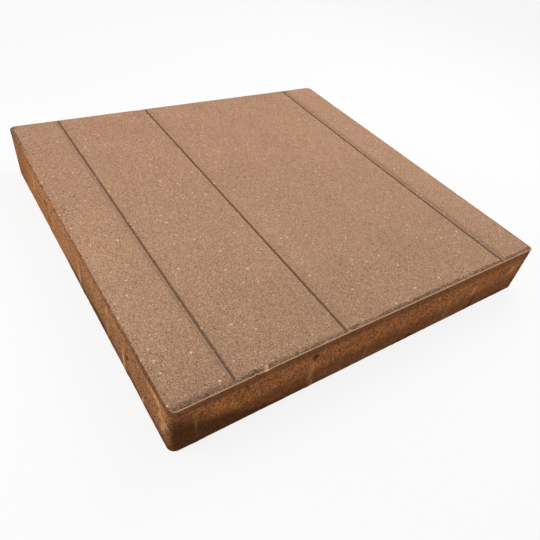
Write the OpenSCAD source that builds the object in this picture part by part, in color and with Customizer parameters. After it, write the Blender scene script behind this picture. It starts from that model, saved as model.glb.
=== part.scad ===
// Pressed concrete paving slab, cast as one piece and lying face up.
// The origin is the middle of the underside. X runs across the grooves, Y along them, Z up.

/* [Slab] */
// Side of the slab across the grooves, between the bare side walls
slab_w = 598; // [450:1:800]
// Side of the slab along the grooves, between the bare end walls
slab_l = 598; // [450:1:800]
// Thickness from the underside to the face
slab_t = 80; // [70:1:120]

/* [Arris round the face] */
// Plan radius of the face's corners; the chamfer, lip and walls turn about the same centres
face_corner_r = 4; // [1:0.5:20]
// Width of the chamfer in plan
chamfer_w = 4.5; // [2:0.1:10]
// Drop of the chamfer below the face
chamfer_h = 2; // [1:0.1:6]
// Width of the level lip that the pressing plate leaves between the chamfer and the wall
lip_w = 1.5; // [0.5:0.1:4]

/* [Grooves] */
// Width of a groove at the face
groove_w = 4; // [2:0.1:8]
// Width of a groove's floor
groove_floor_w = 1.2; // [0.5:0.1:1.8]
// Depth of a groove below the face
groove_d = 3; // [1:0.1:6]
// Width of the half plank along each side wall, which a neighbouring slab makes whole
half_plank_w = 74; // [40:1:100]
// Width of the narrow plank; the wide plank takes the rest of the face
narrow_plank_w = 150; // [80:1:180]

/* [Spacer ribs] */
// How far a rib stands out of its wall
rib_out = 1; // [0.5:0.1:4]
// Width of a rib where it leaves the wall
rib_w = 9; // [6:0.5:14]
// Width of a rib's crest
rib_crest_w = 6; // [2:0.5:6]
// Height of a rib above the underside, with its sloping top
rib_h = 60; // [30:1:60]
// Height of the slope in which a rib's top runs out into the wall
rib_slope_h = 8; // [2:1:20]
// Distance from the left end of a wall, seen from outside, to the middle of its first rib
rib_first = 29; // [20:1:60]
// Distance between neighbouring ribs, middle to middle; a wall takes as many as fit
rib_pitch = 150; // [80:1:220]

/* [Hidden] */
$fn = 96;
slab_colour = [0.60, 0.46, 0.37];
// How far a cutting shape runs past the surface that it cuts
cut_over = 1;
// How deep a rib's root lies inside the wall
rib_root = 3;
// Level of the lip, and the inset of the face's edge from the wall
lip_z = slab_t - chamfer_h;
face_inset = lip_w + chamfer_w;
wall_corner_r = face_corner_r + face_inset;
half_w = slab_w / 2;
half_l = slab_l / 2;
// Middle of each groove across the face
groove_places = [
    half_plank_w - half_w,
    half_plank_w + narrow_plank_w - half_w,
    half_w - half_plank_w
];

// Right-hand edge of the slab's section, from the underside up to the face, for a wall at this reach
function edge_points(reach) = [
    [reach, 0],
    [reach, lip_z],
    [reach - lip_w, lip_z],
    [reach - face_inset, slab_t]
];

// The same edge on the left-hand side, from the face down to the underside
function mirrored_edge_points(reach) =
    let (points = edge_points(reach))
    [for (i = [len(points) - 1:-1:0]) [-points[i].x, points[i].y]];

// Straight run of the slab's section along Y, with a wall and its arris on both sides
module straight_run(reach, run) {
    rotate([90, 0, 0])
        linear_extrude(run, center = true)
            polygon(concat(edge_points(reach), mirrored_edge_points(reach)));
}

// Upright corner: the wall, lip and chamfer turned about the corner's centre
module corner_post() {
    rotate_extrude()
        polygon(concat([[0, 0]], edge_points(wall_corner_r), [[0, slab_t]]));
}

// Slab with its arris carried round the four corners
module slab_body() {
    straight_run(half_w, slab_l - 2 * wall_corner_r);
    rotate([0, 0, 90])
        straight_run(half_l, slab_w - 2 * wall_corner_r);
    for (side_x = [-1, 1], side_y = [-1, 1])
        translate([side_x * (half_w - wall_corner_r), side_y * (half_l - wall_corner_r), 0])
            corner_post();
}

// Tapered groove that cuts the face and both end chamfers; the lip runs on past its ends
module groove() {
    flank_slope = (groove_w - groove_floor_w) / 2 / groove_d;
    mouth = groove_w / 2 + flank_slope * cut_over;
    translate([0, 0, slab_t])
        rotate([90, 0, 0])
            linear_extrude(slab_l - 2 * lip_w, center = true)
                polygon([
                    [-groove_floor_w / 2, -groove_d],
                    [groove_floor_w / 2, -groove_d],
                    [mouth, cut_over],
                    [-mouth, cut_over]
                ]);
}

// One spacer rib on a wall that faces +X at this reach: drafted flanks and a sloping top
module spacer_rib(reach) {
    flank = (rib_w - rib_crest_w) / 2 / rib_out;
    root_w = rib_w / 2 + flank * rib_root;
    translate([reach, 0, 0])
        intersection() {
            linear_extrude(rib_h + cut_over)
                polygon([
                    [-rib_root, -root_w],
                    [rib_out, -rib_crest_w / 2],
                    [rib_out, rib_crest_w / 2],
                    [-rib_root, root_w]
                ]);
            rotate([90, 0, 0])
                linear_extrude(2 * root_w + 2 * cut_over, center = true)
                    polygon([
                        [-rib_root, 0],
                        [rib_out, 0],
                        [rib_out, rib_h - rib_slope_h],
                        [0, rib_h],
                        [-rib_root, rib_h]
                    ]);
        }
}

// Row of ribs on one wall, set off-centre so that a neighbouring slab's ribs pass between them
module wall_ribs(reach, wall_l) {
    last_place = wall_l - wall_corner_r - rib_w / 2;
    for (place = [rib_first:rib_pitch:last_place])
        translate([0, place - wall_l / 2, 0])
            spacer_rib(reach);
}

module paving_slab() {
    color(slab_colour)
        difference() {
            union() {
                slab_body();
                for (turn = [0, 180])
                    rotate([0, 0, turn])
                        wall_ribs(half_w, slab_l);
                for (turn = [90, 270])
                    rotate([0, 0, turn])
                        wall_ribs(half_l, slab_w);
            }
            for (place = groove_places)
                translate([place, 0, 0])
                    groove();
        }
}

paving_slab();
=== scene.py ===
"""Looks of a pressed concrete paving slab.

One dense skin stands for the plain solid: the same section, grooves and ribs, with the fine relief of the
concrete on every side. Lengths are in millimetres until the skin's points are written, heights are above
the underside, and a place along a wall is measured from its middle, left to right as seen from outside.
"""
import math

import bpy
import numpy as np
from mathutils import Matrix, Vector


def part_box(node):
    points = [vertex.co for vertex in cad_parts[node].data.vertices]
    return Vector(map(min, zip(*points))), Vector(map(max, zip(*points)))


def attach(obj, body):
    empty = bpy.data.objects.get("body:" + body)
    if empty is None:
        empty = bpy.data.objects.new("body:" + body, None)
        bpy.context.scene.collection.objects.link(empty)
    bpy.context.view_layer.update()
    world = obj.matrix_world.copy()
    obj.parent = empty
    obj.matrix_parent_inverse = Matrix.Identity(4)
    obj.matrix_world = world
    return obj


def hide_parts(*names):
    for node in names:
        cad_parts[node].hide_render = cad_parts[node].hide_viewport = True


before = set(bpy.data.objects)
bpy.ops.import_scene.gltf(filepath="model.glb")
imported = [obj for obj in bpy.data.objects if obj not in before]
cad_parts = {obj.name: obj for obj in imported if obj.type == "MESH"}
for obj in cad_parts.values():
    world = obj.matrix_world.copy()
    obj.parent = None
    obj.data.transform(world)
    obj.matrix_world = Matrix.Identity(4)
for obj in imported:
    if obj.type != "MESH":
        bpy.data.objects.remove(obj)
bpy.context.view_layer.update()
slab_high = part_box("paving_slab")[1]

# Section of the slab
MM = 0.001
RIB_OUT = 1.0
SLAB_T = slab_high.z / MM
HALF_W = slab_high.x / MM - RIB_OUT
HALF_L = slab_high.y / MM - RIB_OUT
FACE_CORNER_R = 4.0
CHAMFER_W = 4.5
CHAMFER_H = 2.0
LIP_W = 1.5
LIP_Z = SLAB_T - CHAMFER_H
FACE_INSET = LIP_W + CHAMFER_W
WALL_CORNER_R = FACE_CORNER_R + FACE_INSET

# Grooves across the face
GROOVE_W = 4.0
GROOVE_FLOOR_W = 1.2
GROOVE_D = 3.0
HALF_PLANK_W = 74.0
NARROW_PLANK_W = 150.0
GROOVES = (HALF_PLANK_W - HALF_W, HALF_PLANK_W + NARROW_PLANK_W - HALF_W, HALF_W - HALF_PLANK_W)

# Spacer ribs on the walls
RIB_W = 9.0
RIB_CREST_W = 6.0
RIB_H = 60.0
RIB_SLOPE_H = 8.0
RIB_FIRST = 29.0
RIB_PITCH = 150.0
RIBS_PER_WALL = 4

# Walls in order round the slab: the way along each, its way out, and its half sizes
WALLS = range(4)
FRONT, RIGHT, BACK, LEFT = WALLS
ALONG = np.array([(1.0, 0.0), (0.0, 1.0), (-1.0, 0.0), (0.0, -1.0)])
OUTWARD = np.array([(0.0, -1.0), (1.0, 0.0), (0.0, 1.0), (-1.0, 0.0)])
HALF_ALONG = (HALF_W, HALF_L, HALF_W, HALF_L)
HALF_OUT = (HALF_L, HALF_W, HALF_L, HALF_W)

# Closeness of the skin's points, with the least gap as a part of the step
FACE_STEP = 2.9
WALL_STEP = 3.0
UNDERSIDE_STEP = 12.0
LEAST_GAP = 1 / 3
CORNER_STEPS = 8
FACE_BORDER = 2.0
UNDERSIDE_BORDER = 10.0
GROOVE_COLUMNS = np.array(
    (-6.2, -5.2, -4.4, -3.8, -3.2, -2.7, -2.2, -1.8, -1.2, -0.6, 0.0, 0.6, 1.2, 1.8, 2.2, 2.7, 3.5)
)
RIB_COLUMNS = np.array((-5.6, -4.7, -4.3, -3.7, -3.1, -2.5, 0.0, 2.5, 3.1, 3.7, 4.3, 4.7, 5.6))
RUB_COLUMNS = np.linspace(-4.0, 4.0, 9)
CHIP_COLUMNS = np.linspace(-15.0, 15.0, 31)

# Kinds of surface on the skin
FACE, ARRIS, LIP, WALL, UNDERSIDE = range(5)

# Rows of the arris, the wall and the worn bottom edge: inset, height, surface
ARRIS_ROWS = (
    (FACE_INSET, SLAB_T, FACE),
    (FACE_INSET - 0.8, SLAB_T - 0.25, ARRIS),
    (FACE_INSET - 2.0, SLAB_T - 0.9, ARRIS),
    (FACE_INSET - 3.2, SLAB_T - 1.45, ARRIS),
    (LIP_W + 0.15, LIP_Z + 0.06, ARRIS),
    (LIP_W - 0.05, LIP_Z, LIP),
    (LIP_W / 2, LIP_Z, LIP),
    (0.25, LIP_Z - 0.05, LIP),
    (0.0, LIP_Z - 0.4, WALL),
)
WALL_ROWS_TOP = LIP_Z - 1.6
WALL_ROWS_LOW = 2.4
WALL_ROW_COUNT = 26
WALL_ROWS = tuple((0.0, z, WALL) for z in np.linspace(WALL_ROWS_TOP, WALL_ROWS_LOW, WALL_ROW_COUNT))
BOTTOM_ROWS = ((0.0, 0.8, WALL), (0.05, 0.2, WALL), (0.6, 0.0, UNDERSIDE), (FACE_INSET, 0.0, UNDERSIDE))

# Cells along the noise's table, its layers, and a length too small to matter
NOISE_CELLS = 32
NOISE_LAYERS = 3
TINY = 1e-6


def ease(share):
    """A share from 0 to 1 with a smooth start and end."""
    return share * share * (3.0 - 2.0 * share)


def lattice_noise(points, size, seed):
    """Smooth noise from -1 to 1 at each point, with features of about this size."""
    table = np.random.default_rng(seed).uniform(-1.0, 1.0, (NOISE_CELLS,) * 3)
    cell = np.floor(points / size).astype(int)
    share = ease(points / size - cell)
    total = np.zeros(len(points))
    for corner in np.ndindex(2, 2, 2):
        weight = np.where(corner, share, 1.0 - share).prod(axis=1)
        place = (cell + corner) % NOISE_CELLS
        total += weight * table[place[:, 0], place[:, 1], place[:, 2]]
    return total


def uneven(points, kind, number=0, layers=NOISE_LAYERS):
    """Noise of a kind, which is its strength, size and seed; each finer layer is half as strong."""
    strength, size, seed = kind
    total = np.zeros(len(points))
    for layer in range(layers):
        total += lattice_noise(points, size / 2**layer, seed + number + layer) / 2**layer
    return strength * total


def step_up(values, low, high):
    """0 at low, 1 at high and a smooth rise between them, or a fall where high is the lower one."""
    return ease(np.clip((values - low) / (high - low), 0.0, 1.0))


def ramp(values, low, high, most):
    """A smooth rise or fall from 0 at low to the most at high."""
    return most * step_up(values, low, high)


def hump(values, middle, half_width):
    """1 at the middle, falling smoothly to nothing about two half widths away."""
    return np.exp(-(((values - middle) / half_width) ** 2))


def rib_places(side):
    """Middles of the ribs on a wall."""
    return RIB_FIRST + RIB_PITCH * np.arange(RIBS_PER_WALL) - HALF_ALONG[side]


def groove_ends(side):
    """Places on a wall above which a groove runs out."""
    return {FRONT: GROOVES, BACK: [-x for x in GROOVES]}.get(side, ())


def refined_places(reach, step, spots):
    """Places from -reach to reach, about one step apart, with each spot's own closer places."""
    gap = LEAST_GAP * step
    places = np.linspace(-reach, reach, round(2 * reach / step) + 1)
    for spot in spots:
        clear = (places < spot[0] - gap) | (places > spot[-1] + gap)
        places = np.concatenate([places[clear], spot])
    inside = places[np.abs(places) < reach - gap]
    return np.sort(np.concatenate([inside, (-reach, reach)]))


def loop_key(side, place, half):
    """Number that grows round the slab, by which two loops of points are matched."""
    return side + 0.5 + place / (2 * half)


# Chips of the lip that need close columns: wall and place along it
CHIPS = ((FRONT, -190),)

# Dents in each wall and its arris: place, height, reach, and depth, negative for bulges
DENTS = {
    FRONT: (
        (-200, 77.6, 2.6, 1.5), (-187, 77, 6, -0.7), (-117.5, 57.5, 5.6, 2.5),
        (33, 2, 4.5, 0.3), (60, 2.5, 6, 0.3), (76, 29, 3.2, 1.4),
        (185, 4, 5, 0.5),
    ),
    LEFT: (
        (-119, 50, 5, 1.6), (-128, 30, 5, 1.4), (-138, 8, 4, 1),
        (-250, 8, 6, 0.8), (187, 37, 4, 2),
    ),
    RIGHT: ((-140, 78, 5, 1.2), (96, 3, 8, 1.6)),
    BACK: ((84, 78, 4, 0.9), (-210, 4, 7, 1.5)),
}

# Pale rubs on each wall, and painted highlights on the ribs: place, lowest and highest point, width,
# strength
RUBS_AND_HIGHLIGHTS = {
    FRONT: (
        (264, 42, 58, 3.8, 1.3), (150, 44, 66, 30, 0.08), (140, 66, 76, 45, 0.07),
        (145, 22, 36, 40, 0.08), (240, 9, 18, 24, 0.08), (-296, 44, 74, 7, 0.12),
        (-284, 72, 80, 14, 0.12), (-262, 61, 64, 22, 0.07), (125, 10, 46, 3, 0.35),
        (-27, 8, 40, 3, 0.25), (178, 30, 52, 3, 0.5), (-120, 16, 50, 4.6, 0.45),
        (-115, -4, 16, 2, 0.65), (-268.5, 26, 46, 0.9, 0.85), (-266.5, 13, 16, 1.4, 0.9),
    ),
    LEFT: (
        (-182, 26, 62, 2.4, 0.8), (22, 2, 46, 3, 0.8), (-20, 40, 60, 28, 0.06),
        (125, 50, 66, 2.4, 0.9), (125, 0, 40, 2.6, 0.5), (176, -6, 46, 1.8, 1.8),
        (232, 0, 14, 3, 1), (246, 60, 66, 3, 0.9), (256, 62, 69, 4.4, 0.9),
        (263, 60, 70, 3.6, 1), (270, 56, 70, 4, 1), (276, 38, 60, 2.4, 1),
        (284, 60, 70, 4, 0.5), (282, 20, 54, 2.2, 1), (287, 24, 50, 1.8, 0.9),
    ),
    RIGHT: (
        (270, 10, 58, 3, 0.6), (120, 20, 60, 3, 0.5), (-30, 6, 46, 2.5, 0.5),
        (-180, 24, 60, 3, 0.7),
    ),
    BACK: (
        (270, 12, 60, 3, 0.6), (120, 30, 60, 3, 0.7), (-30, 4, 40, 2.5, 0.4),
        (-180, 14, 58, 3, 0.6),
    ),
}

# Dark stains on each wall, and painted shadows beside the ribs and under the lip, in the same order
STAINS_AND_SHADOWS = {
    FRONT: (
        (186, 8, 32, 2.4, 1), (182, -6, 14, 2.4, 1), (5, 20, 44, 58, 0.18),
        (54, -8, 9, 5, 0.9), (33, -8, 6, 5, 0.8), (248, -12, 6, 26, 0.8),
        (240, 34, 62, 30, 0.18), (294, -6, 80, 14, 0.45), (-160, -14, 8, 70, 0.3),
        (-258, 64, 70, 30, 0.35),
    ),
    LEFT: (
        (-114, 8, 58, 3.5, 0.55), (230, -10, 62, 130, 0.21), (-240, -10, 70, 70, 0.24),
        (-165, 73, 90, 55, 0.30), (255, 68, 90, 40, 0.24), (120, 0, 36, 70, 0.30),
        (34, 6, 50, 3, 0.5), (90, -14, 20, 34, 0.9), (60, -14, 40, 36, 0.42),
        (15, -14, 15, 45, 0.88), (187, 30, 42, 2.6, 0.8), (200, -14, 12, 50, 0.3),
        (292, -14, 38, 14, 0.45), (-264, 6, 50, 3.5, 0.35), (-288, 64, 90, 16, 0.5),
    ),
    RIGHT: ((60, -14, 12, 34, 0.5),),
    BACK: ((-90, -14, 14, 40, 0.5),),
}


def outline():
    """Columns of points round the walls: plan point, way out, wall, place along it and loop key."""
    columns = []
    for side in WALLS:
        straight = HALF_ALONG[side] - WALL_CORNER_R
        spots = [RUB_COLUMNS + place for place, *_ in RUBS_AND_HIGHLIGHTS[side]]
        spots += [CHIP_COLUMNS + place for wall, place in CHIPS if wall == side]
        spots += [RIB_COLUMNS + place for place in rib_places(side)]
        spots += [GROOVE_COLUMNS + place for place in groove_ends(side)]
        for place in refined_places(straight, WALL_STEP, spots):
            point = place * ALONG[side] + HALF_OUT[side] * OUTWARD[side]
            columns.append((*point, *OUTWARD[side], side, place, loop_key(side, place, HALF_ALONG[side])))
        centre = straight * ALONG[side] + (HALF_OUT[side] - WALL_CORNER_R) * OUTWARD[side]
        for turn in np.linspace(0.0, 1.0, CORNER_STEPS + 1)[1:-1]:
            angle = turn * math.pi / 2
            out = math.cos(angle) * OUTWARD[side] + math.sin(angle) * ALONG[side]
            past = WALL_CORNER_R * 2 * min(turn, 1.0 - turn)
            near = side if turn <= 0.5 else (side + 1) % len(WALLS)
            place = straight + past if turn <= 0.5 else -(HALF_ALONG[near] - WALL_CORNER_R) - past
            key = side + 1 + (turn - 0.5) * 2 * WALL_CORNER_R / (2 * HALF_ALONG[near])
            columns.append((*(centre + WALL_CORNER_R * out), *out, near, place, key))
    return np.array(columns)


def level_grid(xs, ys, corner_r):
    """Plan points and quads of a grid with rounded corners, with its border loop and the loop's keys."""
    grid_x, grid_y = np.meshgrid(xs, ys)
    points = np.c_[grid_x.ravel(), grid_y.ravel()]
    number = np.arange(len(points)).reshape(len(ys), len(xs))
    quads = np.stack([number[:-1, :-1], number[:-1, 1:], number[1:, 1:], number[1:, :-1]], axis=-1)
    edges = [number[0, :-1], number[:-1, -1], number[-1, :0:-1], number[:0:-1, 0]]
    keys = [
        loop_key(side, points[edge] @ ALONG[side], HALF_ALONG[side]) for side, edge in enumerate(edges)
    ]
    # Points past a corner's centre are drawn in to its arcs
    past = np.abs(points) - (np.array([xs[-1], ys[-1]]) - corner_r)
    in_corner = (past > 0).all(axis=1)
    length = np.hypot(past[:, 0], past[:, 1])
    shrink = np.where(in_corner, 1.0 - past.max(axis=1) / np.maximum(length, TINY), 0.0)
    points -= np.sign(points) * past * shrink[:, None]
    return points, quads.reshape(-1, 4), np.concatenate(edges), np.concatenate(keys)


def zip_loops(outer, outer_keys, inner, inner_keys):
    """Triangles between two closed loops, facing up, matched by their keys."""
    triangles = []
    i = j = 0
    outer_next = np.append(outer_keys[1:], outer_keys[0] + len(WALLS))
    inner_next = np.append(inner_keys[1:], inner_keys[0] + len(WALLS))
    while i < len(outer) or j < len(inner):
        here_outer = outer[i % len(outer)]
        here_inner = inner[j % len(inner)]
        if j >= len(inner) or (i < len(outer) and outer_next[i] <= inner_next[j]):
            i += 1
            triangles.append((here_outer, outer[i % len(outer)], here_inner))
        else:
            j += 1
            triangles.append((here_outer, inner[j % len(inner)], here_inner))
    return np.array(triangles)


class Skin:
    """Points of the slab's surface at its true section, with what is known about each point."""

    def __init__(self):
        self.blocks = []
        self.count = 0

    def add(self, points, normals, out, side, place, inset, surface):
        """Adds points with the way out of their nearest wall, and returns the first one's number."""
        first = self.count
        insets = np.broadcast_to(inset, len(points))
        surfaces = np.full(len(points), surface)
        self.blocks.append((points, normals, out, side, place, insets, surfaces))
        self.count += len(points)
        return first

    def gather(self):
        """Joins the blocks into one array of each kind."""
        joined = [np.concatenate(block) for block in zip(*self.blocks)]
        self.points, self.normals, self.out, self.side, self.place, self.inset, self.surface = joined

    def is_on(self, *surfaces):
        """Whether each point is on one of these surfaces."""
        return np.isin(self.surface, surfaces)


def add_level_points(skin, plan, height, up, surface):
    """Adds a level sheet of points that face up or down, each told its nearest wall."""
    points = np.c_[plan, np.full(len(plan), height)]
    normals = np.tile((0.0, 0.0, up), (len(plan), 1))
    inset = np.array(HALF_OUT) - plan @ OUTWARD.T
    side = inset.argmin(axis=1)
    place = (plan * ALONG[side]).sum(axis=1)
    return skin.add(points, normals, OUTWARD[side], side, place, inset.min(axis=1), surface)


def add_ring(skin, columns, inset, height, surface):
    """Adds one loop of points round the slab at this inset from the walls."""
    out = columns[:, 2:4]
    points = np.c_[columns[:, :2] - inset * out, np.full(len(columns), height)]
    lean = {ARRIS: math.atan2(CHAMFER_W, CHAMFER_H), WALL: 0.0}.get(surface, math.pi / 2)
    rise = -1.0 if surface == UNDERSIDE else 1.0
    normals = np.c_[math.cos(lean) * out, np.full(len(columns), rise * math.sin(lean))]
    return skin.add(points, normals, out, columns[:, 4].astype(int), columns[:, 5], inset, surface)


def build_skin():
    """The slab's true section as points and faces, closed all round."""
    skin = Skin()
    faces = []
    columns = outline()
    keys = columns[:, 6]
    width = len(columns)

    at_grooves = [GROOVE_COLUMNS + x for x in GROOVES]
    face_x = refined_places(HALF_W - FACE_INSET - FACE_BORDER, FACE_STEP, at_grooves)
    face_y = refined_places(HALF_L - FACE_INSET - FACE_BORDER, FACE_STEP, [])
    plan, quads, border, border_keys = level_grid(face_x, face_y, FACE_CORNER_R - FACE_BORDER)
    first = add_level_points(skin, plan, SLAB_T, 1.0, FACE)
    faces += (quads + first).tolist()
    face_border = border + first

    rows = ARRIS_ROWS + WALL_ROWS + BOTTOM_ROWS
    rings = [add_ring(skin, columns, *row) + np.arange(width) for row in rows]
    faces += zip_loops(rings[0], keys, face_border, border_keys).tolist()
    for upper, lower in zip(rings, rings[1:]):
        faces += np.stack([lower, np.roll(lower, -1), np.roll(upper, -1), upper], axis=-1).tolist()

    under_x = refined_places(HALF_W - FACE_INSET - UNDERSIDE_BORDER, UNDERSIDE_STEP, [])
    under_y = refined_places(HALF_L - FACE_INSET - UNDERSIDE_BORDER, UNDERSIDE_STEP, [])
    plan, quads, border, border_keys = level_grid(under_x, under_y, FACE_CORNER_R)
    first = add_level_points(skin, plan, 0.0, -1.0, UNDERSIDE)
    faces += (quads[:, ::-1] + first).tolist()
    faces += zip_loops(rings[-1], keys, border + first, border_keys)[:, ::-1].tolist()
    skin.gather()
    return skin, faces


# Relief of each surface: mean depth, then its waves and grain by height, size and seed
RELIEF = {
    FACE: (0.16, (0.08, 90, 10), (0.02, 11, 30)),
    ARRIS: (0.30, (0.10, 22, 11), (0.26, 4, 31)),
    LIP: (0.10, (0.06, 30, 12), (0.08, 8, 32)),
    WALL: (0.16, (0.08, 48, 13), (0.12, 6.5, 33)),
    UNDERSIDE: (0.06, (0.03, 60, 14), (0.03, 9, 34)),
}

# Values of the walls that pick out one of them
ONLY_FRONT = (1, 0, 0, 0)
ONLY_LEFT = (0, 0, 0, 1)


def by_wall(skin, values):
    """A value of each wall, blended round the upright corners."""
    share = np.clip(skin.out @ OUTWARD.T, 0.0, 1.0) ** 2
    return share @ np.array(values)


def plan_distance(skin, x, y):
    """Distance of every point from a place in plan."""
    return np.hypot(skin.points[:, 0] - x, skin.points[:, 1] - y)


def along_y(skin):
    """The points drawn onto the Y axis, for noise that changes along the grooves alone."""
    return skin.points * (0.0, 1.0, 0.0)


def rough_relief(skin):
    """Sinks every point a little along its normal, by the waves and grain of its surface."""
    depth = np.zeros(skin.count)
    for surface, (mean, waves, grain) in RELIEF.items():
        here = skin.is_on(surface)
        points = skin.points[here]
        depth[here] = np.maximum(mean - uneven(points, waves) - uneven(points, grain), 0.0)
    skin.points -= skin.normals * depth[:, None]


# How far the front lip lies off its level at places along it, and the heights where the wall joins in
LIP_PLACES = (-290, -185, -60, 150, 280)
LIP_SHIFTS = (-3, -1.25, 0, 0.65, 1.5)
LIP_SHIFT_Z = (70, 78)


def lip_shift(skin):
    """How far the front lip lies above its true level."""
    return by_wall(skin, ONLY_FRONT) * np.interp(skin.points[:, 0], LIP_PLACES, LIP_SHIFTS)


def tilt_lip(skin):
    """Lets the front lip fall towards the left with the wall's top, while the face stays level."""
    share = (1.0 - np.clip((skin.inset - LIP_W) / CHAMFER_W, 0.0, 1.0)) ** 2
    share *= step_up(skin.points[:, 2], *LIP_SHIFT_Z)
    skin.points[:, 2] += np.where(skin.is_on(ARRIS, LIP, WALL), lip_shift(skin) * share, 0.0)


# What is left of a worn rib at its foot, the heights where that ends, and what is left of its crest
RIB_FOOT = 0.25
RIB_FOOT_Z = (1, 12)
RIB_CREST = 0.9
RIB_CREST_UNEVEN = (0.1, 14, 54)
# How ragged a rib's flanks are, and how much more so its top
RIB_RAGGED = (0.5, 9, 51)
RIB_TOP_RAGGED = 2


def raise_ribs(skin):
    """Lifts the spacer ribs out of the walls, with worn crests and feet and ragged flanks."""
    height = skin.points[:, 2]
    lift = np.zeros(skin.count)
    flank = (RIB_W - RIB_CREST_W) / 2
    ragged = uneven(skin.points, RIB_RAGGED)
    slope = np.clip((RIB_H + RIB_TOP_RAGGED * ragged - height) / RIB_SLOPE_H, 0.0, 1.0)
    for side in WALLS:
        on_wall = (skin.side == side) & skin.is_on(WALL)
        for place in rib_places(side):
            away = np.abs(skin.place - place) + ragged
            rise = np.minimum(np.clip((RIB_W / 2 - away) / flank, 0.0, 1.0), slope)
            lift = np.where(on_wall, np.maximum(lift, rise), lift)
    wear = RIB_CREST + uneven(skin.points, RIB_CREST_UNEVEN, layers=1)
    wear *= RIB_FOOT + (1.0 - RIB_FOOT) * step_up(height, *RIB_FOOT_Z)
    skin.points[:, :2] += skin.out * (RIB_OUT * lift * wear)[:, None]
    return lift


# Each groove as cast: shift, lean and curve of its middle along Y, its crumbled edges, its painted shade
GROOVE_BEND = ((0.45, 0, 0), (0.05, 0.0013, 0), (-2.7, 0.0047, 0.0000234))
GROOVE_CRUMBLED = (0.35, 0.12, 0.30)
GROOVE_SHADE_TONE = (0.55, 0.76, 0.98)
# Unevenness of the grooves, and the share of the depth over which their painted shade sets in
GROOVE_WANDER = (0.15, 40, 61)
GROOVE_RAGGED = (0.18, 5, 71)
GROOVE_FLOOR_ROUGH = (0.15, 5, 81)
GROOVE_DARKENS = (0.05, 0.7)
# Smear on each groove's right: darkness, distance from the middle, width
SMEAR_TONE = (0.05, 0.14, 0.48)
SMEAR_PLACE = 7
SMEAR_W = 4


def right_of_groove(skin, number):
    """Distance of every point to the right of a groove's middle line, which wanders a little."""
    y = skin.points[:, 1]
    shift, lean, curve = GROOVE_BEND[number]
    wander = uneven(along_y(skin), GROOVE_WANDER, number)
    return skin.points[:, 0] - GROOVES[number] - shift - lean * y - curve * y**2 - wander


def cut_grooves(skin):
    """Presses the grooves into the face and its chamfers, and returns their painted shade and smears."""
    open_to_groove = skin.is_on(FACE, ARRIS) & (np.abs(skin.points[:, 1]) < HALF_L - LIP_W)
    flank = (GROOVE_W - GROOVE_FLOOR_W) / 2
    depth = np.zeros(skin.count)
    dark = np.zeros(skin.count)
    for number, crumbled in enumerate(GROOVE_CRUMBLED):
        away = right_of_groove(skin, number)
        half = GROOVE_W / 2 + crumbled + uneven(skin.points, GROOVE_RAGGED, number)
        cut = np.clip((half - np.abs(away)) / flank, 0.0, 1.0)
        inside = GROOVE_SHADE_TONE[number] * step_up(cut, *GROOVE_DARKENS)
        smear = np.where(skin.is_on(FACE), SMEAR_TONE[number] * hump(away, SMEAR_PLACE, SMEAR_W), 0.0)
        depth = np.maximum(depth, cut)
        dark = np.maximum(dark, np.maximum(inside, smear))
    depth = np.where(open_to_groove, depth, 0.0)
    floor = SLAB_T - GROOVE_D * depth + uneven(skin.points, GROOVE_FLOOR_ROUGH)
    skin.points[:, 2] = np.where(depth > 0, np.minimum(skin.points[:, 2], floor), skin.points[:, 2])
    return np.where(open_to_groove, dark, 0.0)


# Burr and scored line on the first groove's left: distance from its middle, width, height or depth
BURR_PLACE = 3.2
BURR_W = 0.6
BURR_H = 0.20
SCORE_PLACE = 4.4
SCORE_W = 1.5
SCORE_D = 0.45
# Painted shade in the scored line, and how strong and uneven it and the burr are
SCORE_SHADE_TONE = 0.6
SCORE_STRENGTH = 0.8
SCORE_UNEVEN = (0.3, 60, 91)


def mark_first_groove(skin):
    """Adds the burr and the scored line beside the first groove, and returns the masks of both."""
    beside = -right_of_groove(skin, 0)
    strength = SCORE_STRENGTH + uneven(along_y(skin), SCORE_UNEVEN)
    strength = np.where(skin.is_on(FACE), strength, 0.0)
    burr = strength * hump(beside, BURR_PLACE, BURR_W)
    score = strength * hump(beside, SCORE_PLACE, SCORE_W)
    skin.points[:, 2] += BURR_H * burr - SCORE_D * score
    skin.points[:, 2] = np.minimum(skin.points[:, 2], SLAB_T)
    return burr, score


# How fast the painted shade in a dent deepens from its rim, and how far in from the walls one reaches
DENT_SHADE_RATE = 2.2
DENT_INSET = 2 * FACE_INSET


def press_dents(skin):
    """Presses the dents in, and returns how much painted shade each point gets for lying in one."""
    depth = np.zeros(skin.count)
    for side, dents in DENTS.items():
        near = (skin.side == side) & (skin.inset < DENT_INSET)
        for place, height, reach, deep in dents:
            away = np.hypot(skin.place - place, skin.points[:, 2] - height)
            dent = np.where(near, np.clip(1.0 - (away / reach) ** 2, 0.0, 1.0), 0.0)
            skin.points[:, :2] -= skin.out * (deep * dent)[:, None]
            depth = np.maximum(depth, np.clip(DENT_SHADE_RATE * dent, 0.0, 1.0) * (deep > 0))
    return depth


# How the marks on the walls sway, and how far those on the left lean with height
MARK_SWAY = (1.2, 22, 101)
LEFT_LEAN = 0.14
# Softness of a mark's ends below and above its foot and top, and what its width adds at most
MARK_FOOT = (3, 3)
MARK_TOP = (4, 2)
MARK_SOFT = 0.2
MARK_SOFT_MOST = 7


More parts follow.
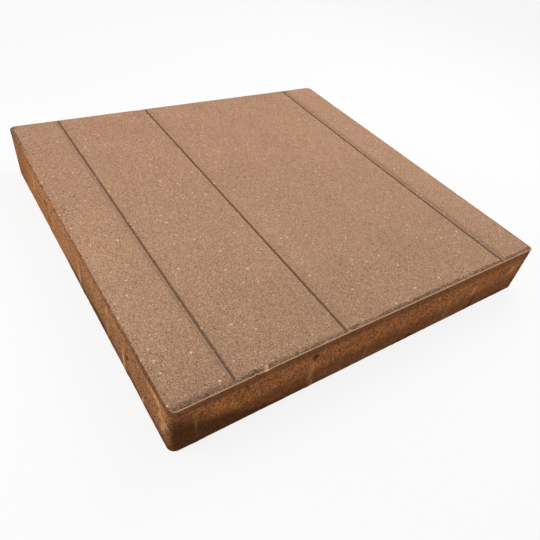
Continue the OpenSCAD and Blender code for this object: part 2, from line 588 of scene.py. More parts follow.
def wall_marks(skin, marks):
    """Upright marks on the walls, each swaying a little and fading at its ends."""
    height = skin.points[:, 2]
    sway = uneven(skin.points, MARK_SWAY)
    lean = np.where(skin.side == LEFT, LEFT_LEAN * (height - SLAB_T / 2), 0.0)
    total = np.zeros(skin.count)
    for side, rows in marks.items():
        for place, low, high, width, strength in rows:
            soft = min(MARK_SOFT * width, MARK_SOFT_MOST)
            band = step_up(height, low - MARK_FOOT[0] - soft, low + MARK_FOOT[1] + soft)
            band *= step_up(height, high + MARK_TOP[1] + soft, high - MARK_TOP[0] - soft)
            mark = strength * band * hump(skin.place + sway - lean, place, width)
            total = np.where(skin.side == side, np.maximum(total, mark), total)
    return np.where(skin.is_on(WALL, LIP), total, 0.0)


# The ribs' pale crests are partly rubbed and partly a painted highlight
# How much paler the ribs' crests are on each wall, from which part of their lift, and how unevenly
CREST_RUB_AND_HIGHLIGHT = (0.12, 0.3, 0.3, 0.2)
CREST_LIFT = (0.75, 1)
CREST_UNEVEN = (1, 18, 104)


def rub_and_highlight_mask(skin, lift):
    """Pale rubs and painted highlights on the walls, and the ribs' rubbed and highlighted crests."""
    crests = step_up(lift, *CREST_LIFT) * by_wall(skin, CREST_RUB_AND_HIGHLIGHT)
    crests *= 1.0 + uneven(skin.points, CREST_UNEVEN)
    return np.maximum(wall_marks(skin, RUBS_AND_HIGHLIGHTS), crests)


# The facing, a finer and darker layer of the same casting: its lower edge and strength on each wall
FACING_Z = (65, 66, 66, 71.5)
FACING_STRENGTH = (1.05, 0.8, 0.8, 0.35)
# Sway of its edge on each wall, the waves of that, their stretch, and the edge's softness
FACING_SWAY = (1.5, 1.5, 1.5, 0.6)
FACING_WAVES = (1, 42, 111)
FACING_STRETCH = (1, 1, 0.2)
FACING_SOFT = 2
# Its change along the front, and the painted shade it adds at both ends of the left wall: from, to, how
# much
FACING_FADE = (-40, 180, 0.25)
FACING_FRONT_END = (-120, 240, 0.90)
FACING_BACK_END = (-110, -280, 0.85)
# Where along the left wall its edge droops: from, to, how far
FACING_DROOP = (-120, 240, 1.5)


def facing_and_shade_mask(skin):
    """How much of the top layer shows along the walls' top, on the left wall partly as painted shade."""
    on_front = by_wall(skin, ONLY_FRONT)
    on_left = by_wall(skin, ONLY_LEFT)
    sway = by_wall(skin, FACING_SWAY) * uneven(skin.points * FACING_STRETCH, FACING_WAVES)
    edge = by_wall(skin, FACING_Z) + sway - on_left * ramp(skin.place, *FACING_DROOP)
    strength = by_wall(skin, FACING_STRENGTH) - on_front * ramp(skin.place, *FACING_FADE)
    strength += on_left * ramp(skin.place, *FACING_FRONT_END)
    strength += on_left * ramp(skin.place, *FACING_BACK_END)
    return strength * step_up(skin.points[:, 2], edge - FACING_SOFT, edge + FACING_SOFT)


# Darker foot of the walls: its height and strength on each, its sway, and its softness below and above
DARK_FOOT_Z = (31, 14, 18, 11)
DARK_FOOT_STRENGTH = (0.57, 0.4, 0.4, 0.6)
DARK_FOOT_WAVES = (1, 36, 121)
DARK_FOOT_SWAY = 3
DARK_FOOT_SOFT = (10, 9)
# Where the left wall's darker foot ends, and how the front's changes towards the right
LEFT_FOOT_ENDS = (60, -60)
FRONT_FOOT_CHANGE = -0.18
# Darker left end of the front: height at the corner, end, sway, softness, turn of the corner
DARK_END_Z = 74
DARK_END_LIMIT = -130
DARK_END_SWAY = 7
DARK_END_SOFT = (24, 2)
DARK_END_TURN = (0.2, 0.8)
# Darkening of the left lip, middle and reach of its paler part, and the share of darkening a rub takes
# off
LIP_DARKENING = 0.25
LIP_PALER_PART = (-60, 120)
RUB_LIGHTENS = 0.8


def darkening_mask(skin):
    """How dark the walls are: more near the ground, most at the front's left end, with stains and painted
    shade.
    """
    height = skin.points[:, 2]
    on_front = by_wall(skin, ONLY_FRONT)
    on_left = by_wall(skin, ONLY_LEFT)
    waves = uneven(skin.points, DARK_FOOT_WAVES)
    top = by_wall(skin, DARK_FOOT_Z) + DARK_FOOT_SWAY * waves
    darkening = by_wall(skin, DARK_FOOT_STRENGTH) * step_up(height, top + DARK_FOOT_SOFT[1], top - DARK_FOOT_SOFT[0])
    darkening *= 1.0 - on_left * step_up(skin.place, *LEFT_FOOT_ENDS)
    darkening *= 1.0 + FRONT_FOOT_CHANGE * on_front * skin.place / HALF_W
    top = DARK_END_Z * (DARK_END_LIMIT - skin.points[:, 0]) / (DARK_END_LIMIT + HALF_W) + DARK_END_SWAY * waves
    dark_end = step_up(height, top + DARK_END_SOFT[1], top - DARK_END_SOFT[0])
    dark_end *= step_up(on_front, *DARK_END_TURN)
    darker = np.maximum(darkening, dark_end) + wall_marks(skin, STAINS_AND_SHADOWS)
    darker *= 1.0 - RUB_LIGHTENS * wall_marks(skin, RUBS_AND_HIGHLIGHTS)
    lip_darkening = LIP_DARKENING * on_left * (1.0 - hump(skin.place, *LIP_PALER_PART))
    darker += np.where(skin.is_on(LIP), lip_darkening, 0.0)
    return np.where(skin.is_on(LIP, WALL, UNDERSIDE), np.clip(darker, 0.0, 1.0), 0.0)


# The rough dark arris, partly dirt and partly painted shade: its strength on each wall, and how broken it
# is
ARRIS_STRENGTH = (1, 0.6, 0.6, 0)
ARRIS_MEAN = 0.95
ARRIS_BROKEN = (0.6, 24, 134)
ARRIS_LEAST = 0.35
# Its fringe on the face: inset, raggedness, softness, and how much it follows the lip
FRINGE_INSET = FACE_INSET - 0.75
FRINGE_RAGGED = (1.3, 7, 131)
FRINGE_SOFT = 1.7
FRINGE_FOLLOWS = 1.1
# How it weakens along the front, towards its left corner and at the grooves: from, to, how much
ARRIS_FADE = (-260, 120, 0.15)
ARRIS_START = (-276, -300, 0.8)
GROOVE_END_W = 6
GROOVE_END_LESS = 0.8
# The worn corner at the left and back: its reach along the arris, its inset and its tip
WORN_REACH = (130, 45)
WORN_INSET = (6.5, 3.5)
WORN_TIP = (20, 8)


def worn_corner(skin):
    """How worn the arris is near the corner at the left and back."""
    to_corner = plan_distance(skin, -HALF_W, HALF_L)
    along_arris = step_up(to_corner, *WORN_REACH) * step_up(skin.inset, *WORN_INSET)
    return np.maximum(along_arris, step_up(to_corner, *WORN_TIP))


def arris_dirt_and_shade_mask(skin):
    """How dark and rough the arris is: a broken fringe of the front, and the worn corner."""
    on_front = by_wall(skin, ONLY_FRONT)
    fringe = FRINGE_INSET + uneven(skin.points, FRINGE_RAGGED) + FRINGE_FOLLOWS * lip_shift(skin)
    band = step_up(skin.inset, fringe + FRINGE_SOFT, fringe - FRINGE_SOFT)
    broken = np.clip(ARRIS_MEAN + uneven(skin.points, ARRIS_BROKEN), ARRIS_LEAST, 1.0)
    strength = by_wall(skin, ARRIS_STRENGTH) * broken
    strength *= 1.0 - on_front * ramp(skin.place, *ARRIS_FADE)
    strength *= 1.0 - on_front * ramp(skin.points[:, 0], *ARRIS_START)
    for number in range(len(GROOVES)):
        strength *= 1.0 - GROOVE_END_LESS * hump(right_of_groove(skin, number), 0.0, GROOVE_END_W)
    worn = worn_corner(skin)
    dark = np.where(skin.is_on(ARRIS, FACE), np.maximum(band * strength, worn), 0.0)
    return np.where(skin.is_on(LIP), worn, dark)


# The lip's paleness is partly its pale cement and partly a painted highlight
# How pale the lip is on each wall, how unevenly, and how much it looks like the wall instead
LIP_PALENESS_AND_HIGHLIGHT = (1, 0.8, 0.7, 0)
LIP_MEAN = 0.85
LIP_UNEVEN = (0.25, 20, 141)
LIP_AS_WALL = (0, 0.1, 0.2, 1)


def lip_paleness_and_highlight_mask(skin):
    """How pale the lip is: partly pale cement, partly painted highlight."""
    paleness = by_wall(skin, LIP_PALENESS_AND_HIGHLIGHT) * (LIP_MEAN + uneven(skin.points, LIP_UNEVEN))
    return np.where(skin.is_on(LIP), paleness, 0.0)


def wall_mask(skin):
    """1 where the finish is that of the walls."""
    lip = np.where(skin.is_on(LIP), by_wall(skin, LIP_AS_WALL) * (1.0 - worn_corner(skin)), 0.0)
    return np.where(skin.is_on(WALL, UNDERSIDE), 1.0, lip)


# Pale stone in the front chamfer, and the lip drooping below it: plan point and radius
STONES = ((-186, -294.8, 2.6), (-187.5, -299, 3.2))
# Where a stone ends, in parts of its radius
STONE_EDGE = (1.2, 0.5)
# Pale pebbles that stand out in the face: plan point and strength
PEBBLES = (
    (-193, -228, 1), (-190.5, -228, 1), (-281, -32, 0.7),
    (15, -238, 0.7), (-54, -159, 0.6), (-246, 227, 0.7),
    (28, -232, 0.5), (-181, 226, 0.6), (-240, -195, 0.6),
    (-240, -224, 0.5), (-265, 9, 0.5), (131, 89, 0.5),
)
# Pits in the face, darkened as painted shade, most of them along its left edge, in the same order
PITS = (
    (-290, 56, 0.6), (-289, 50, 0.9), (-290, 44, 0.5),
    (-292, 29, 0.8), (-290, 12, 0.4), (-292, 98, 0.5),
    (-268, 78, 0.7), (-274, 77, 0.4), (112, -210, 0.7),
    (-157, -24, 0.4), (-196, 82, 0.4), (-264, 158, 0.4),
)
# Soft dark smudges on the back of the face, in the same order
SMUDGES = ((22, 275, 0.14), (-120, 224, 0.14), (-96, 276, 0.12))
SMUDGE_R = 9
# Broad paler or darker areas of the face: plan point, reach, how much paler
TONES = (
    (-294, -50, 60, 0.12), (-288, -160, 50, 0.05), (-190, -95, 36, 0.07),
    (-55, -160, 30, 0.08), (-50, -75, 45, 0.07), (292, -80, 45, 0.07),
    (292, -185, 40, 0.06), (-130, 290, 30, 0.06), (-104, 148, 25, 0.05),
    (-255, -292, 30, -0.09), (-220, -255, 30, -0.05), (240, 185, 40, -0.04),
    (160, 285, 70, -0.05), (-292, 225, 40, -0.05),
)
# Painted shade along the front edge of the face: places along it, the shade there, its width
EDGE_PLACES = (-280, -205, 150, 270)
EDGE_SHADES = (0.11, 0, 0.02, 0.10)
EDGE_SHADE_W = 5


def spot_mask(skin, spots):
    """Single points of the face, each the nearest to a spot."""
    on_face = np.flatnonzero(skin.is_on(FACE))
    mask = np.zeros(skin.count)
    for x, y, strength in spots:
        mask[on_face[plan_distance(skin, x, y)[on_face].argmin()]] = strength
    return mask


def stone_mask(skin):
    """The pale stone in the front chamfer with the lip below it, and the pebbles of the face."""
    pale = np.zeros(skin.count)
    for x, y, radius in STONES:
        pale = np.maximum(pale, step_up(plan_distance(skin, x, y) / radius, *STONE_EDGE))
    return np.where(skin.is_on(ARRIS, LIP), pale, spot_mask(skin, PEBBLES))


def pit_mask(skin):
    """Painted shade in the pits of the face, and its smudges."""
    dark = spot_mask(skin, PITS)
    for x, y, strength in SMUDGES:
        dark = np.maximum(dark, strength * hump(plan_distance(skin, x, y), 0.0, SMUDGE_R))
    return np.where(skin.is_on(FACE), dark, 0.0)


def tone_mask(skin):
    """How much paler than the rest each point of the face is, less the painted shade along its front
    edge.
    """
    paler = np.zeros(skin.count)
    for x, y, reach, strength in TONES:
        paler += strength * hump(plan_distance(skin, x, y), 0.0, reach)
    edge_shade = by_wall(skin, ONLY_FRONT) * np.interp(skin.points[:, 0], EDGE_PLACES, EDGE_SHADES)
    past_edge = np.maximum(skin.inset - FACE_INSET, 0.0)
    return paler - edge_shade * np.exp(-past_edge / EDGE_SHADE_W)


# How dusty each wall is, where the left wall's dust ends, its share at the foot and where that ends
DUSTY = (0, 0.5, 0.5, 1)
DUST_END = (-110, -290)
DUST_FOOT = 0.5
DUST_Z = (5, 22)


def dust_mask(skin):
    """How dusty the walls are."""
    dusty = by_wall(skin, DUSTY) * (DUST_FOOT + (1.0 - DUST_FOOT) * step_up(skin.points[:, 2], *DUST_Z))
    return dusty * (1.0 - by_wall(skin, ONLY_LEFT) * step_up(skin.place, *DUST_END))


# Where along Y the face turns from its dull to its warm colour
WARM_Y = (-280, 160)
# Angle in degrees from which an edge of the skin is sharp
SHARP_ANGLE = 40


def make_slab(material):
    """The dressed slab as one closed mesh, with its masks as attributes."""
    skin, faces = build_skin()
    rough_relief(skin)
    tilt_lip(skin)
    lift = raise_ribs(skin)
    groove = cut_grooves(skin)
    burr, score = mark_first_groove(skin)
    dents = press_dents(skin)
    masks = {
        "wall": wall_mask(skin),
        "groove": np.maximum(groove, SCORE_SHADE_TONE * score),
        "burr": burr,
        "dent": dents,
        "rub_and_highlight": rub_and_highlight_mask(skin, lift),
        "facing_and_shade": facing_and_shade_mask(skin),
        "darkening": darkening_mask(skin),
        "arris": arris_dirt_and_shade_mask(skin),
        "lip": lip_paleness_and_highlight_mask(skin),
        "pit": pit_mask(skin),
        "stone": stone_mask(skin),
        "tone": tone_mask(skin),
        "dusty": dust_mask(skin),
        "warm": step_up(skin.points[:, 1], *WARM_Y),
    }
    mesh = bpy.data.meshes.new("slab_skin")
    mesh.from_pydata((skin.points * MM).tolist(), [], faces)
    for name, values in masks.items():
        mesh.attributes.new(name, "FLOAT", "POINT").data.foreach_set("value", values.astype(np.float32))
    mesh.shade_smooth()
    mesh.set_sharp_from_angle(angle=math.radians(SHARP_ANGLE))
    mesh.materials.append(material)
    slab = bpy.data.objects.new("slab_skin", mesh)
    bpy.context.scene.collection.objects.link(slab)
    return slab


def feed(tree, socket, value):
    """Links a socket to another socket, or sets it to a plain value."""
    if isinstance(value, bpy.types.NodeSocket):
        tree.links.new(value, socket)
    else:
        socket.default_value = value


def calc(tree, operation, a, b=0.0, c=0.0):
    """One sum, and its result."""
    node = tree.nodes.new("ShaderNodeMath")
    node.operation = operation
    for socket, value in zip(node.inputs, (a, b, c)):
        feed(tree, socket, value)
    return node.outputs[0]


def span(tree, value, low, high, to_low=0.0, to_high=1.0):
    """A value's smooth rise from to_low to to_high as it goes from low to high."""
    node = tree.nodes.new("ShaderNodeMapRange")
    node.interpolation_type = "SMOOTHSTEP"
    for name, number in zip(("From Min", "From Max", "To Min", "To Max"), (low, high, to_low, to_high)):
        feed(tree, node.inputs[name], number)
    feed(tree, node.inputs["Value"], value)
    return node.outputs["Result"]


# Sockets of a mix node: its factor, and the inputs and the output for colours
MIX_FACTOR = 0
MIX_COLOURS = (6, 7)
MIX_COLOUR_OUT = 2


def mix(tree, factor, a, b, mode="MIX"):
    """Two colours mixed by a factor."""
    node = tree.nodes.new("ShaderNodeMix")
    node.data_type = "RGBA"
    node.blend_type = mode
    feed(tree, node.inputs[MIX_FACTOR], factor)
    for number, colour in zip(MIX_COLOURS, (a, b)):
        is_socket = isinstance(colour, bpy.types.NodeSocket)
        feed(tree, node.inputs[number], colour if is_socket else (*colour, 1.0))
    return node.outputs[MIX_COLOUR_OUT]


def tinted(tree, colour, tint):
    """A colour multiplied by a tint, or by one number."""
    return mix(tree, 1.0, colour, tint, "MULTIPLY")


def laid_on(tree, colour, mask, share, top):
    """A colour with a share of another laid on by a mask."""
    return mix(tree, calc(tree, "MULTIPLY", mask, share), colour, top)


def scaled(tree, coords, scale):
    """Coordinates with their own scale along each axis."""
    node = tree.nodes.new("ShaderNodeVectorMath")
    node.operation = "MULTIPLY"
    feed(tree, node.inputs[0], coords)
    feed(tree, node.inputs[1], scale)
    return node.outputs[0]


def noise(tree, coords, size, detail=2.0):
    """Noise around 0.5 with features of about this size in millimetres."""
    node = tree.nodes.new("ShaderNodeTexNoise")
    feed(tree, node.inputs["Vector"], coords)
    node.inputs["Scale"].default_value = 1.0 / (size * MM)
    node.inputs["Detail"].default_value = detail
    return node.outputs[0]


def blotches(tree, coords, size, detail, *ends):
    """Noise of this size and detail, spanned between the ends."""
    return span(tree, noise(tree, coords, size, detail), *ends)


def cells(tree, coords, size):
    """Cells of about this size in millimetres: distance from each middle, and two random numbers."""
    node = tree.nodes.new("ShaderNodeTexVoronoi")
    feed(tree, node.inputs["Vector"], coords)
    node.inputs["Scale"].default_value = 1.0 / (size * MM)
    split = tree.nodes.new("ShaderNodeSeparateColor")
    tree.links.new(node.outputs["Color"], split.inputs[0])
    return node.outputs["Distance"], split.outputs[0], split.outputs[1]


# Least radius of a grain or pore as a part of the largest, and the part of one where its edge begins
GRAIN_LEAST = 0.4
GRAIN_CORE = 0.55


def scattered(tree, coords, spacing, radius, share):
    """Mask of grains or pores of up to this radius, one in each of a share of the cells."""
    distance, choice, size = cells(tree, coords, spacing)
    largest = radius / spacing
    reach = calc(tree, "MULTIPLY_ADD", size, (1.0 - GRAIN_LEAST) * largest, GRAIN_LEAST * largest)
    inside = span(tree, calc(tree, "DIVIDE", distance, reach), 1.0, GRAIN_CORE)
    return calc(tree, "MULTIPLY", inside, calc(tree, "LESS_THAN", choice, share))


def attribute(tree, name):
    """One of the slab's masks."""
    node = tree.nodes.new("ShaderNodeAttribute")
    node.attribute_name = name
    return node.outputs["Fac"]


# Colours of the concrete, in linear light
FACE_DULL = (0.465, 0.279, 0.171)
FACE_WARM = (0.490, 0.281, 0.174)
FACE_SPECK = (0.96, 0.55, 0.34)
# Painted shade in the pores and pits of the face
FACE_PORE_SHADE = (0.115, 0.050, 0.022)
# Painted shade in the grooves and the scored line, also for the smears beside the grooves
GROOVE_SHADE_AND_SMEAR = (0.235, 0.145, 0.100)
# Pale lip, partly cement and partly a painted highlight, also the burr's painted highlight
LIP_PALE_AND_HIGHLIGHT = (0.60, 0.37, 0.235)
STONE_TAN = (0.90, 0.51, 0.30)
WALL_ORANGE = (0.55, 0.208, 0.072)
WALL_DUSTY = (0.545, 0.245, 0.103)
WALL_SPECK = (0.90, 0.42, 0.17)
# Painted shade in the pores and dents of the walls
WALL_PORE_SHADE = (0.10, 0.035, 0.014)
# Pale rubs, and painted highlights on the ribs
RUB_AND_HIGHLIGHT_PALE = (1.00, 0.49, 0.195)

# Tints by which those colours are multiplied
HUE_DULL = (0.975, 1.005, 1.015)
HUE_RED = (1.025, 0.995, 0.985)
SAND_DARK = (0.62, 0.51, 0.40)
SAND_PALE = (1.39, 1.50, 1.62)
ARRIS_DIRT_AND_SHADE_TINT = (0.43, 0.405, 0.405)
GRAVEL_DARK = (0.40, 0.24, 0.10)
GRAVEL_PALE = (1.60, 1.76, 1.90)
FACING_AND_SHADE_TINT = (0.59, 0.62, 0.69)
DARKENING_TINT = (0.24, 0.235, 0.23)

# Blotches of both finishes: size in millimetres, detail, range of the noise, and values at its ends
FACE_PATCHES = (70.0, 4.0, 0.3, 0.7, 0.97, 1.03)
FACE_HUES = (5.0, 1.0, 0.3, 0.7, 0.0, 1.0)
ARRIS_CRUMBS = (2.4, 2.0, 0.3, 0.7, -0.36, 0.36)
WALL_PATCHES = (45.0, 4.0, 0.3, 0.7, 0.92, 1.08)
WALL_MOTTLE = (7.0, 3.0, 0.3, 0.7, 0.90, 1.10)
RUB_STREAKS = (2.2, 3.0, 0.32, 0.54, 0.40, 1.25)

# Grain of the face, in millimetres
SAND_SIZE = 0.72
FACE_DUST_SIZE = 0.6
# Range of the mask over which crumbs break the dark arris, and how the arris darkens
CRUMBS_START = (0.0, 0.4)
ARRIS_DARKENS = (0.1, 1.1)
ARRIS_SHARE = 0.95
# Specks, chips and pores of the face: spacing, largest radius and share of the cells that hold one
FACE_SPECKS = (9.0, 2.0, 0.45)
FACE_CHIPS = (3.6, 1.1, 0.36)
FACE_PORES = (4.4, 1.2, 0.40)
# How much of their colour things on the face have, and a pore's depth beside the grain's height
BURR_HIGHLIGHT_SHARE = 0.35
LIP_SHARE = 0.95
CHIP_SHARE = 0.85
FACE_PORE_SHARE = 0.9
PORE_DEPTH = 3.0


def face_finish(tree, coords):
    """Colour and height of the sandy face, with its specks, pores, grooves and arris."""
    # Tone of the face, less the painted shade along its front edge
    tone = calc(tree, "ADD", blotches(tree, coords, *FACE_PATCHES), attribute(tree, "tone"))
    colour = tinted(tree, mix(tree, attribute(tree, "warm"), FACE_DULL, FACE_WARM), tone)
    hue = blotches(tree, coords, *FACE_HUES)
    colour = tinted(tree, colour, mix(tree, hue, HUE_DULL, HUE_RED))
    sand = cells(tree, coords, SAND_SIZE)[1]
    dust = noise(tree, coords, FACE_DUST_SIZE)
    colour = tinted(tree, colour, mix(tree, span(tree, sand, 0.0, 1.0), SAND_DARK, SAND_PALE))
    arris = attribute(tree, "arris")
    crumbs = blotches(tree, coords, *ARRIS_CRUMBS)
    ragged = calc(tree, "MULTIPLY_ADD", crumbs, span(tree, arris, *CRUMBS_START), arris)
    darkened = span(tree, ragged, *ARRIS_DARKENS, 0.0, ARRIS_SHARE)
    # Darker arris, partly dirt and partly painted shade of its rough chamfer
    colour = mix(tree, darkened, colour, tinted(tree, colour, ARRIS_DIRT_AND_SHADE_TINT))
    # Painted shade in the grooves and the scored line, with the smears beside the grooves
    colour = mix(tree, attribute(tree, "groove"), colour, GROOVE_SHADE_AND_SMEAR)
    # Painted highlight on the burr, and the lip's pale cement, partly painted highlight
    colour = laid_on(tree, colour, attribute(tree, "burr"), BURR_HIGHLIGHT_SHARE, LIP_PALE_AND_HIGHLIGHT)
    colour = laid_on(tree, colour, attribute(tree, "lip"), LIP_SHARE, LIP_PALE_AND_HIGHLIGHT)
    colour = mix(tree, attribute(tree, "stone"), colour, STONE_TAN)
    colour = mix(tree, scattered(tree, coords, *FACE_SPECKS), colour, FACE_SPECK)
    colour = laid_on(tree, colour, scattered(tree, coords, *FACE_CHIPS), CHIP_SHARE, FACE_SPECK)
    # Painted shade in the pores and pits
    pores = calc(tree, "MAXIMUM", scattered(tree, coords, *FACE_PORES), attribute(tree, "pit"))
    colour = laid_on(tree, colour, pores, FACE_PORE_SHARE, FACE_PORE_SHADE)
    height = calc(tree, "ADD", sand, dust)
    return colour, calc(tree, "SUBTRACT", height, calc(tree, "MULTIPLY", pores, PORE_DEPTH))


# Gravel of the walls: size, strength where plain and dusty, mean, and the range of its tints
GRAVEL_SIZE = 1.1
GRAVEL_STRENGTH = (0.9, 1.7)
GRAVEL_MEAN = 0.5
GRAVEL_RANGE = (-0.6, 0.6)
# Finer dust of the walls: size, range and shades
WALL_DUST_SIZE = 0.8
WALL_DUST_RANGE = (0.25, 0.75)
WALL_DUST_SHADES = (0.70, 1.30)
# How much smoother the walls are where they are darker or faced
SMOOTHED = 0.42
# Specks and pores of the walls: spacing, largest radius and share of the cells that hold one
WALL_SPECKS = (4.6, 1.4, 0.40)
WALL_PORES = (4.2, 1.7, 0.70)
# How much of their own colour specks have, and how much painted shade pores and dents take
WALL_SPECK_SHARE = 0.25
WALL_PORE_SHARE = 0.85
DENT_SHADE_SHARE = 0.85
# Scale along each axis that draws the streaks in the rubs upright
STREAK_SCALE = (1.0, 1.0, 0.12)


def wall_finish(tree, coords):
    """Coarse walls' colour and height, with top layer, dark foot, rubs, painted shade and highlights."""
    facing_and_shade = attribute(tree, "facing_and_shade")
    darkening = attribute(tree, "darkening")
    dusty = attribute(tree, "dusty")
    smooth = calc(tree, "MULTIPLY", calc(tree, "MAXIMUM", facing_and_shade, darkening), SMOOTHED)
    coarse = calc(tree, "SUBTRACT", 1.0, smooth)
    patches = blotches(tree, coords, *WALL_PATCHES)
    colour = tinted(tree, mix(tree, dusty, WALL_ORANGE, WALL_DUSTY), patches)
    # Darker facing, on the left wall partly painted shade
    colour = mix(tree, facing_and_shade, colour, tinted(tree, colour, FACING_AND_SHADE_TINT))
    gravel = cells(tree, coords, GRAVEL_SIZE)[1]
    strength = calc(tree, "MULTIPLY", coarse, span(tree, dusty, 0.0, 1.0, *GRAVEL_STRENGTH))
    grain = calc(tree, "MULTIPLY", calc(tree, "SUBTRACT", gravel, GRAVEL_MEAN), strength)
    colour = tinted(tree, colour, mix(tree, span(tree, grain, *GRAVEL_RANGE), GRAVEL_DARK, GRAVEL_PALE))
    dust = noise(tree, coords, WALL_DUST_SIZE, detail=3.0)
    colour = tinted(tree, colour, span(tree, dust, *WALL_DUST_RANGE, *WALL_DUST_SHADES))
    colour = tinted(tree, colour, blotches(tree, coords, *WALL_MOTTLE))
    specks = calc(tree, "MULTIPLY", scattered(tree, coords, *WALL_SPECKS), coarse)
    colour = laid_on(tree, colour, specks, WALL_SPECK_SHARE, WALL_SPECK)
    streaks = blotches(tree, scaled(tree, coords, STREAK_SCALE), *RUB_STREAKS)
    # Pale rubs, and painted highlights on the ribs and their crests
    colour = laid_on(tree, colour, attribute(tree, "rub_and_highlight"), streaks, RUB_AND_HIGHLIGHT_PALE)
    # Darker foot, left end and stains, with painted shadows by the ribs and under the lip
    colour = mix(tree, darkening, colour, tinted(tree, colour, DARKENING_TINT))
    # Painted shade in the pores
    pores = calc(tree, "MULTIPLY", scattered(tree, coords, *WALL_PORES), coarse)
    colour = laid_on(tree, colour, pores, WALL_PORE_SHARE, WALL_PORE_SHADE)
    # Painted shade in the dents
    colour = laid_on(tree, colour, attribute(tree, "dent"), DENT_SHADE_SHARE, WALL_PORE_SHADE)
    height = calc(tree, "MULTIPLY", calc(tree, "ADD", gravel, dust), coarse)
    return colour, calc(tree, "SUBTRACT", height, calc(tree, "MULTIPLY", pores, PORE_DEPTH))


# Sheen of the concrete, and its bump with a height in millimetres
ROUGHNESS = 0.9
SPECULAR = 0.1
BUMP_STRENGTH = 0.5
BUMP_HEIGHT = 0.25


def make_concrete():
    """Matt brown concrete: a sandy face, a dark arris and coarse orange walls, chosen by masks."""
    material = bpy.data.materials.new("concrete")
    material.use_nodes = True
    tree = material.node_tree
    shader = tree.nodes["Principled BSDF"]
    coords = tree.nodes.new("ShaderNodeTexCoord").outputs["Object"]
    wall = attribute(tree, "wall")
    face_colour, face_height = face_finish(tree, coords)
    wall_colour, wall_height = wall_finish(tree, coords)
    tree.links.new(mix(tree, wall, face_colour, wall_colour), shader.inputs["Base Color"])
    rise = calc(tree, "SUBTRACT", wall_height, face_height)
    height = calc(tree, "MULTIPLY_ADD", rise, wall, face_height)
    bump = tree.nodes.new("ShaderNodeBump")
    bump.inputs["Strength"].default_value = BUMP_STRENGTH
    bump.inputs["Distance"].default_value = BUMP_HEIGHT * MM
    tree.links.new(height, bump.inputs["Height"])
    tree.links.new(bump.outputs["Normal"], shader.inputs["Normal"])
    shader.inputs["Roughness"].default_value = ROUGHNESS
    shader.inputs["Specular IOR Level"].default_value = SPECULAR
    return material


# Floor and sky, with the floor's side in metres
FLOOR_SIZE = 30.0
FLOOR_WHITE = (0.97, 0.97, 0.97)
FLOOR_BOUNCE = (0.36, 0.35, 0.34)
FLOOR_GLOW = 0.85
SKY_WHITE = (1.0, 1.0, 1.0)
SKY_STRENGTH = 0.48
# Softboxes: name, place and size in metres, and power in watts
SOFTBOXES = (
    ("key_softbox", (-0.95, 0.15, 0.62), 0.6, 3.0),
    ("top_softbox", (0.75, 0.28, 1.15), 0.9, 8.0),
)

# Camera: picture, focal length and centre in pixels, place in metres, turns in degrees
IMAGE_PX = 540
FOCAL_PX = 501.49
CENTRE_PX = (290.18, 290.52)
CAMERA_PLACE = (-0.4018, -0.5450, 0.5048)
CAMERA_TURN = 42.25
CAMERA_TILT = 43.276
CAMERA_ROLL = 11.574


def seen_directly(tree):
    """1 for rays from the camera, or from it by way of a mirror or glass."""
    path = tree.nodes.new("ShaderNodeLightPath")
    seen = calc(tree, "MAXIMUM", path.outputs["Is Camera Ray"], path.outputs["Is Glossy Ray"])
    return calc(tree, "MAXIMUM", seen, path.outputs["Is Transmission Ray"])


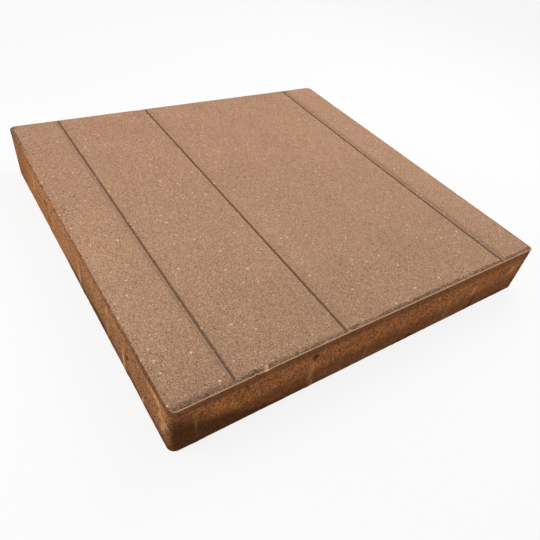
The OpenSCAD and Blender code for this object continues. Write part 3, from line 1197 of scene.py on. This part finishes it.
def make_floor():
    """Plain floor that is white to the eye and throws back less light than it seems to."""
    material = bpy.data.materials.new("floor_white")
    material.use_nodes = True
    tree = material.node_tree
    shader = tree.nodes["Principled BSDF"]
    seen = seen_directly(tree)
    tree.links.new(mix(tree, seen, FLOOR_BOUNCE, FLOOR_WHITE), shader.inputs["Base Color"])
    shader.inputs["Roughness"].default_value = 1.0
    shader.inputs["Specular IOR Level"].default_value = 0.0
    glow = tree.nodes.new("ShaderNodeEmission")
    blend = tree.nodes.new("ShaderNodeMixShader")
    tree.links.new(calc(tree, "MULTIPLY", seen, FLOOR_GLOW), blend.inputs["Fac"])
    tree.links.new(shader.outputs["BSDF"], blend.inputs[1])
    tree.links.new(glow.outputs["Emission"], blend.inputs[2])
    tree.links.new(blend.outputs["Shader"], tree.nodes["Material Output"].inputs["Surface"])
    mesh = bpy.data.meshes.new("floor")
    half = FLOOR_SIZE / 2
    corners = [(-half, -half, 0.0), (half, -half, 0.0), (half, half, 0.0), (-half, half, 0.0)]
    mesh.from_pydata(corners, [], [(0, 1, 2, 3)])
    mesh.materials.append(material)
    floor = bpy.data.objects.new("floor", mesh)
    bpy.context.scene.collection.objects.link(floor)
    return floor


def make_softbox(name, place, size, power):
    """Square softbox that faces the slab's middle."""
    light = bpy.data.lights.new(name, "AREA")
    light.size = size
    light.energy = power
    softbox = bpy.data.objects.new(name, light)
    softbox.location = place
    softbox.rotation_euler = (-softbox.location).to_track_quat("-Z", "Y").to_euler()
    softbox.visible_camera = False
    bpy.context.scene.collection.objects.link(softbox)


def make_sky():
    """Even light from all round, which looks white."""
    world = bpy.data.worlds.new("sky")
    world.use_nodes = True
    tree = world.node_tree
    strength = span(tree, seen_directly(tree), 0.0, 1.0, SKY_STRENGTH, 1.0)
    sky = tree.nodes["Background"]
    sky.inputs["Color"].default_value = (*SKY_WHITE, 1.0)
    tree.links.new(strength, sky.inputs["Strength"])
    bpy.context.scene.world = world


def make_camera():
    """Camera at the photograph's place, with its focal length and picture centre."""
    lens = bpy.data.cameras.new("camera")
    lens.lens = lens.sensor_width * FOCAL_PX / IMAGE_PX
    lens.shift_x = 0.5 - CENTRE_PX[0] / IMAGE_PX
    lens.shift_y = CENTRE_PX[1] / IMAGE_PX - 0.5
    camera = bpy.data.objects.new("camera", lens)
    turn = Matrix.Rotation(math.radians(-CAMERA_TURN), 4, "Z")
    tilt = Matrix.Rotation(math.radians(90.0 - CAMERA_TILT), 4, "X")
    roll = Matrix.Rotation(math.radians(CAMERA_ROLL), 4, "Z")
    camera.matrix_world = Matrix.Translation(CAMERA_PLACE) @ turn @ tilt @ roll
    bpy.context.scene.collection.objects.link(camera)
    bpy.context.scene.camera = camera


slab = make_slab(make_concrete())
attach(slab, "root")
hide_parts("paving_slab")

make_floor()
for softbox in SOFTBOXES:
    make_softbox(*softbox)
make_sky()
make_camera()
bpy.context.scene.view_settings.view_transform = "Standard"
